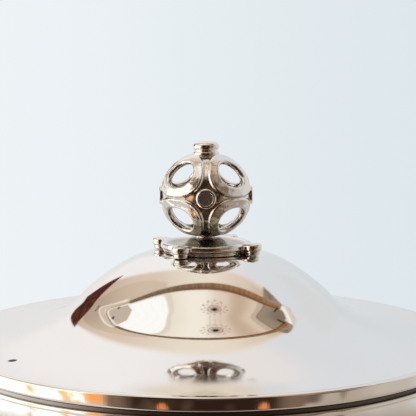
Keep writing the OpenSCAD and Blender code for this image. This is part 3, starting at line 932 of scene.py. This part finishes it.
    # a lamp that hangs from the middle of the ceiling
    lamp_u, lamp_v = g.math("SUBTRACT", u, 0.075), g.math("SUBTRACT", v, -0.07)
    for rod in (-0.036, 0.014, 0.068):
        off_rod = g.math("ABSOLUTE", g.math("SUBTRACT", lamp_u, rod))
        on_rod = g.both(g.step(off_rod, 0.006, 0.002), g.step(lamp_v, -0.03, -0.05), g.step(v, -0.6, -0.4))
        color = g.blend(g.math("MULTIPLY", on_rod, 0.6), color, linear(176, 158, 136))
    lamp = g.length(lamp_u, lamp_v)
    turn = g.math("ARCTAN2", lamp_v, lamp_u)
    arms = g.step(g.math("COSINE", g.math("MULTIPLY", turn, 12.0)), 0.1, 0.7)
    between = g.step(g.math("COSINE", g.math("MULTIPLY", turn, 12.0)), -0.1, -0.7)
    wide_ring = g.both(g.step(lamp, 0.1, 0.108), g.step(lamp, 0.126, 0.118), arms)
    middle_ring = g.both(g.step(lamp, 0.078, 0.084), g.step(lamp, 0.096, 0.09), between)
    red_ring = g.both(g.step(lamp, 0.05, 0.055), g.step(lamp, 0.068, 0.062))
    inner_ring = g.both(g.step(lamp, 0.032, 0.035), g.step(lamp, 0.043, 0.04))
    color = g.blend(g.math("MULTIPLY", wide_ring, 0.75), color, linear(140, 124, 106))
    color = g.blend(g.math("MULTIPLY", middle_ring, 0.7), color, linear(148, 118, 98))
    color = g.blend(g.math("MULTIPLY", red_ring, 0.75), color, linear(136, 66, 48))
    color = g.blend(g.math("MULTIPLY", inner_ring, 0.9), color, linear(104, 44, 34))
    color = g.blend(g.step(lamp, 0.031, 0.025), color, linear(8, 6, 5))

    # the ceiling is dim where it comes over the camera
    dim = g.both(g.step(v, -0.42, -0.62), g.step(y, 0.0, -0.1))
    color = g.blend(dim, color, linear(156, 144, 132))

    # the dark curtain high on the left
    curtain_side = g.math("SUBTRACT", g.math("MULTIPLY_ADD", v, -0.51, -0.03), u)
    curtain = g.both(g.step(curtain_side, 0.0, 0.05), g.step(v, 1.6, 1.68), g.step(level, 11, 13),
                     g.step(y, 0.2, 0.4))
    folds = g.noise(g.stretched(direction, (40, 40, 4)), 1.0, 2)
    cloth = g.blend(g.step(folds, 0.4, 0.65), linear(66, 32, 24), linear(98, 56, 40))
    color = g.blend(curtain, color, cloth)

    # the room on the camera's side, from the horizon up to the ceiling
    low_level = g.step(level, 44, 34)
    spots = g.noise(g.stretched(direction, (3.4, 3.4, 2.2)), 1.0, 2, 0.5)
    patches = g.noise(g.stretched(direction, (7, 7, 5)), 1.0, 3, 0.6)
    right_wall = g.blend(g.step(spots, 0.44, 0.56), linear(182, 169, 156), linear(112, 94, 80))
    right_wall = g.blend(g.step(azimuth, 62, 80), right_wall, linear(196, 190, 183))
    right_wall = g.blend(g.step(azimuth, 92, 112), right_wall, linear(216, 218, 220))
    color = g.blend(g.both(low_level, within(azimuth, 40, 150, 4)), color, right_wall)
    stripes = g.step(patches, 0.48, 0.56)
    left_wall = g.blend(stripes, linear(255, 255, 255, 1.5), linear(255, 228, 196, 1.25))
    left_wall = g.blend(g.both(stripes, g.step(level, 6, -2)), left_wall, linear(255, 196, 134, 1.15))
    left_wall = g.blend(g.step(azimuth, -86, -94), left_wall, linear(250, 253, 255, 1.5))
    near_edge = g.blend(g.step(level, 6, 16), linear(255, 176, 100), linear(240, 218, 196))
    left_wall = g.blend(g.step(azimuth, -53, -48), left_wall, near_edge)
    left_wall = g.blend(within(azimuth, -148, -124, 3), left_wall, linear(116, 104, 98))
    left_wall = g.blend(g.step(azimuth, -150, -154), left_wall, linear(240, 241, 242))
    left_low = g.step(level, 38, 32)
    color = g.blend(g.both(left_low, within(azimuth, -158, -42, 3), g.step(y, 0.5, 0.3)), color, left_wall)

    # below the horizon the surroundings are a table top
    table = g.blend(g.step(patches, 0.35, 0.65), linear(232, 230, 228), linear(206, 202, 197))
    table = g.blend(within(azimuth, 35, 125, 20), table, linear(176, 163, 150))
    table = g.blend(within(azimuth, -40, 34, 8), table, linear(106, 95, 86))
    color = g.blend(g.step(level, -15, -19), color, table)

    # straight ahead of the bowl the room is dark, down to the table's near edge
    dark = g.blend(g.step(spots, 0.52, 0.7), linear(46, 33, 26), linear(92, 74, 60))
    dark = g.blend(within(azimuth, -33, 31, 5), linear(124, 102, 88), dark)
    dark_zone = g.both(g.step(level, 62, 44), within(azimuth, -42, 42, 2), g.step(level, -52, -36))
    color = g.blend(dark_zone, color, dark)
    for lamp_azimuth in (-18.0, 24.0):
        across = g.math("DIVIDE", g.math("SUBTRACT", azimuth, lamp_azimuth), 2.4)
        away = g.math("DIVIDE", g.math("ADD", level, 19.0), 5.0)
        glow = g.math("ADD", g.math("MULTIPLY", across, across), g.math("MULTIPLY", away, away))
        color = g.blend(g.step(glow, 1.2, 0.4), color, linear(226, 140, 88))

    # what the camera sees directly is a plain backdrop
    straight = g.add("ShaderNodeLightPath").outputs["Is Camera Ray"]
    backdrop = g.blend(g.step(x, -0.22, 0.22), linear(238, 243, 246), linear(222, 231, 236))
    color = g.blend(straight, color, backdrop)
    g.link(color, light.inputs["Color"])
    light.inputs["Strength"].default_value = 1.0


def soft_light():
    """A large soft light overhead, for the floor and the gentle shadow under the bowl."""
    data = bpy.data.lights.new("overhead", "AREA")
    data.shape = "DISK"
    data.size = 1.2
    data.energy = 9.0
    lamp = bpy.data.objects.new("overhead", data)
    lamp.location = (-0.25, -0.1, 1.1)
    lamp.rotation_euler = (math.radians(-5), math.radians(-13), 0)
    lamp.visible_glossy = False
    lamp.visible_camera = False
    bpy.context.scene.collection.objects.link(lamp)


def camera():
    """A close view from above the lid, tilted a little down, with the frame shifted down to the brim."""
    data = bpy.data.cameras.new("camera")
    data.sensor_width = 36.0
    data.lens = 99.87
    data.shift_x, data.shift_y = 0.0048, -0.161
    data.clip_start, data.clip_end = 0.01, 20
    made = bpy.data.objects.new("camera", data)
    made.location = (0, -0.2764, EDGE * MM + 0.0584)
    made.rotation_euler = (math.radians(90 - 2.5), 0, 0)
    bpy.context.scene.collection.objects.link(made)
    bpy.context.scene.camera = made


floor_disc()
room()
soft_light()
camera()
bpy.context.scene.view_settings.view_transform = "Standard"
